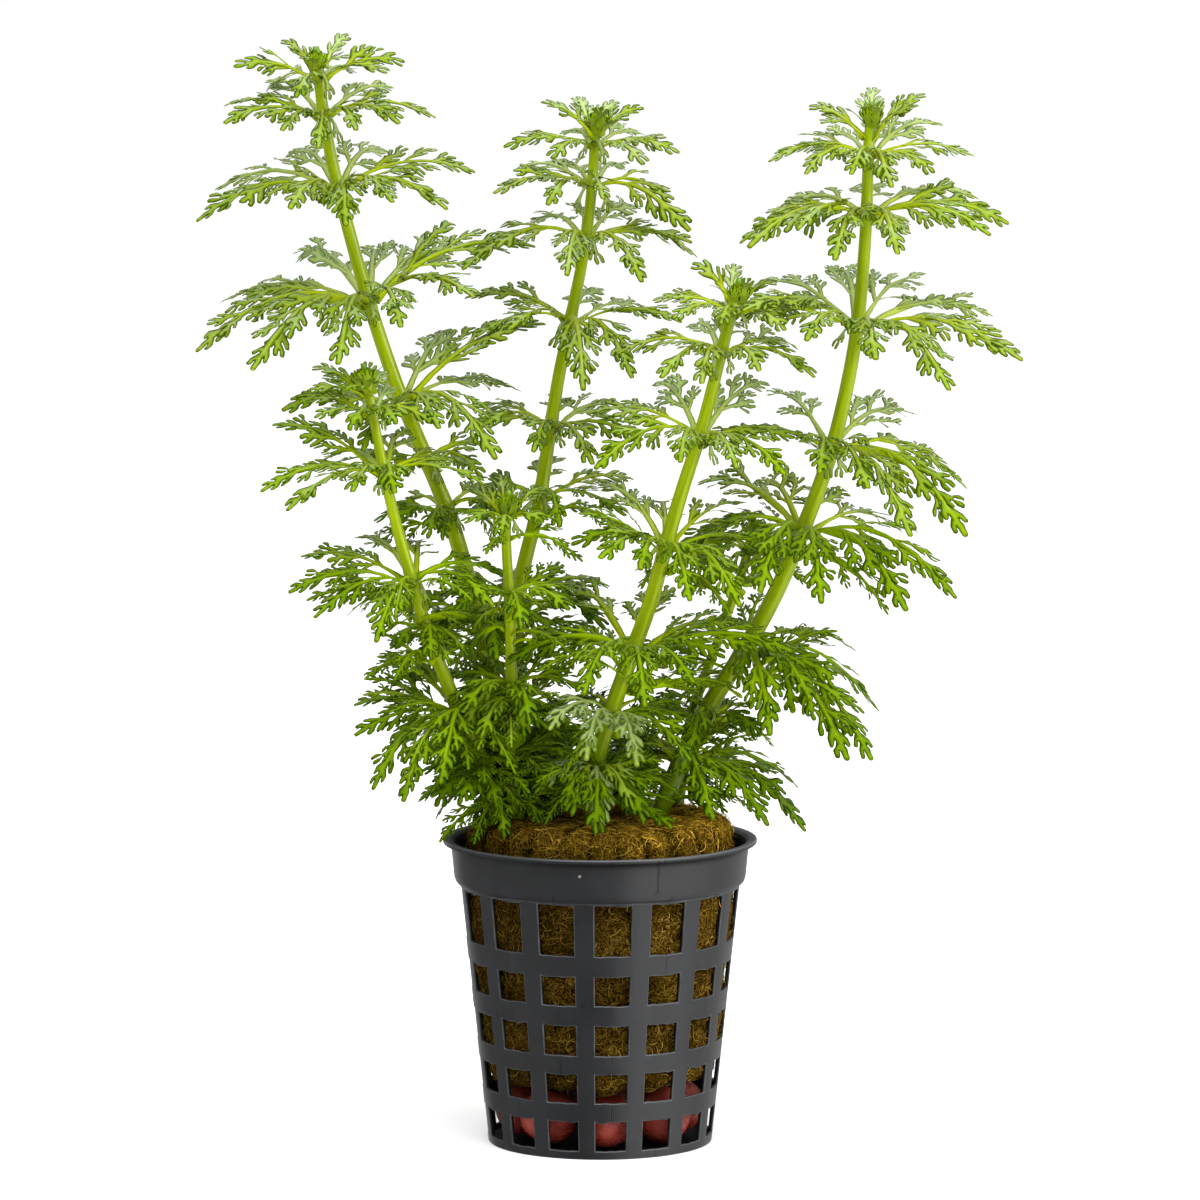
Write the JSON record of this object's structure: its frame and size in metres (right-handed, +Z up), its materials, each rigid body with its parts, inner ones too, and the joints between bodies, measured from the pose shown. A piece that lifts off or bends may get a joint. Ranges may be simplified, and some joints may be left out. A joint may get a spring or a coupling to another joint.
{
  "type": "potted aquarium plant",
  "caption": "Potted aquatic plant: upright stems with whorls of finely divided feathery leaves, rooted in a rock wool plug inside a round slotted net pot.",
  "frame": {"origin": "centre of the net pot's underside", "axes": "+Z up along the pot's axis, +X to the right of the plant's front, +Y towards its back"},
  "size_m": [0.1347, 0.0745, 0.183],
  "materials": {
    "charcoal_plastic": "satin moulded plastic",
    "rock_wool": "coarse matted fibre",
    "baked_clay": "matt baked clay",
    "stem_green": "smooth fresh stem",
    "leaf_green": "soft waxy leaf"
  },
  "bodies": {
    "root": {"net_pot": "charcoal_plastic", "rock_wool": "rock_wool", "clay_ball_1": "baked_clay", "clay_ball_2": "baked_clay", "clay_ball_3": "baked_clay", "clay_ball_4": "baked_clay", "clay_ball_5": "baked_clay", "clay_ball_6": "baked_clay", "clay_ball_7": "baked_clay", "clay_ball_8": "baked_clay", "clay_ball_9": "baked_clay", "shoot_a_stem": "stem_green", "shoot_a_whorl_1": "leaf_green", "shoot_a_whorl_2": "leaf_green", "shoot_a_whorl_3": "leaf_green", "shoot_a_whorl_4": "leaf_green", "shoot_a_whorl_5": "leaf_green", "shoot_a_whorl_6": "leaf_green", "shoot_a_whorl_7": "leaf_green", "shoot_a_whorl_8": "leaf_green", "shoot_a_whorl_9": "leaf_green", "shoot_b_stem": "stem_green", "shoot_b_whorl_1": "leaf_green", "shoot_b_whorl_2": "leaf_green", "shoot_b_whorl_3": "leaf_green", "shoot_b_whorl_4": "leaf_green", "shoot_b_whorl_5": "leaf_green", "shoot_b_whorl_6": "leaf_green", "shoot_b_whorl_7": "leaf_green", "shoot_b_whorl_8": "leaf_green", "shoot_c_stem": "stem_green", "shoot_c_whorl_1": "leaf_green", "shoot_c_whorl_2": "leaf_green", "shoot_c_whorl_3": "leaf_green", "shoot_c_whorl_4": "leaf_green", "shoot_c_whorl_5": "leaf_green", "shoot_c_whorl_6": "leaf_green", "shoot_c_whorl_7": "leaf_green", "shoot_d_stem": "stem_green", "shoot_d_whorl_1": "leaf_green", "shoot_d_whorl_2": "leaf_green", "shoot_d_whorl_3": "leaf_green", "shoot_d_whorl_4": "leaf_green", "shoot_d_whorl_5": "leaf_green", "shoot_d_whorl_6": "leaf_green", "shoot_d_whorl_7": "leaf_green", "shoot_d_whorl_8": "leaf_green", "shoot_e_stem": "stem_green", "shoot_e_whorl_1": "leaf_green", "shoot_e_whorl_2": "leaf_green", "shoot_e_whorl_3": "leaf_green", "shoot_e_whorl_4": "leaf_green", "shoot_e_whorl_5": "leaf_green", "shoot_e_whorl_6": "leaf_green", "shoot_f_stem": "stem_green", "shoot_f_whorl_1": "leaf_green", "shoot_f_whorl_2": "leaf_green", "shoot_f_whorl_3": "leaf_green", "shoot_g_stem": "stem_green", "shoot_g_whorl_1": "leaf_green"}
  },
  "joints": []
}
